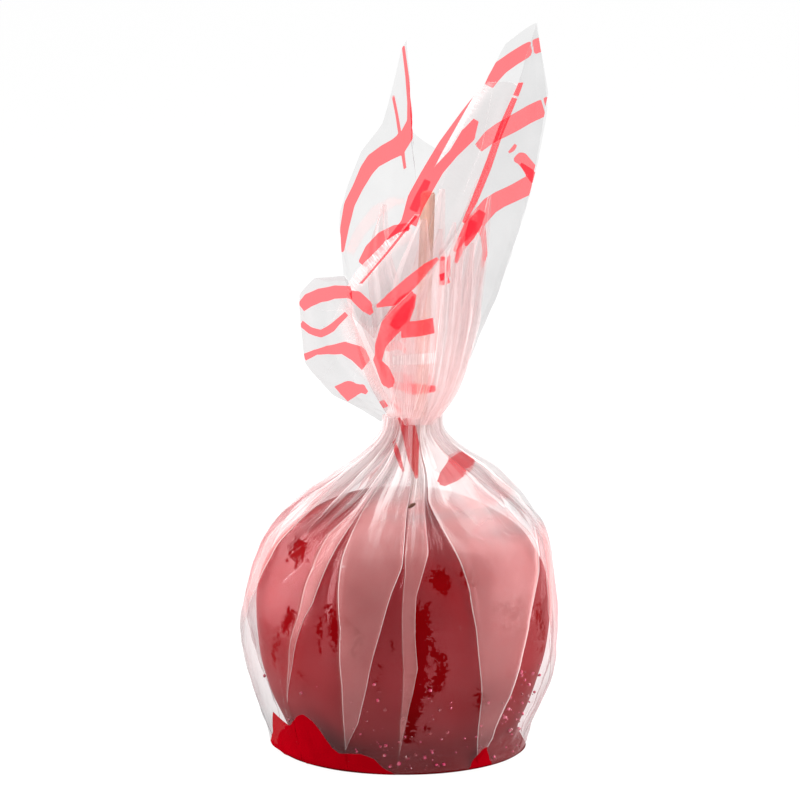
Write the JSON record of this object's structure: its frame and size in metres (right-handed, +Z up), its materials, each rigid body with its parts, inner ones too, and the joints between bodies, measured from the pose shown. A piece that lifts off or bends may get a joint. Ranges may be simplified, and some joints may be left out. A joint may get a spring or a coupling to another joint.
{
  "type": "toffee apple",
  "caption": "Toffee apple on a wooden stick in a clear bag with red stripes, gathered at the neck, its mouth flared into pointed ears and a curled lobe.",
  "frame": {"origin": "middle of the flat base, on the surface that the bag stands on", "axes": "+Z up along the stick, +X towards the tall ear of the bag's mouth, -Y towards the front with the curled lobe"},
  "size_m": [0.0808, 0.0784, 0.1855],
  "materials": {
    "film": "clear glossy film with red printed stripes",
    "toffee": "hard clear red toffee over an apple",
    "stick": "plain birch dowel",
    "crumbs": "broken toffee and sugar"
  },
  "bodies": {
    "root": {"bag": "film"}
  },
  "joints": []
}
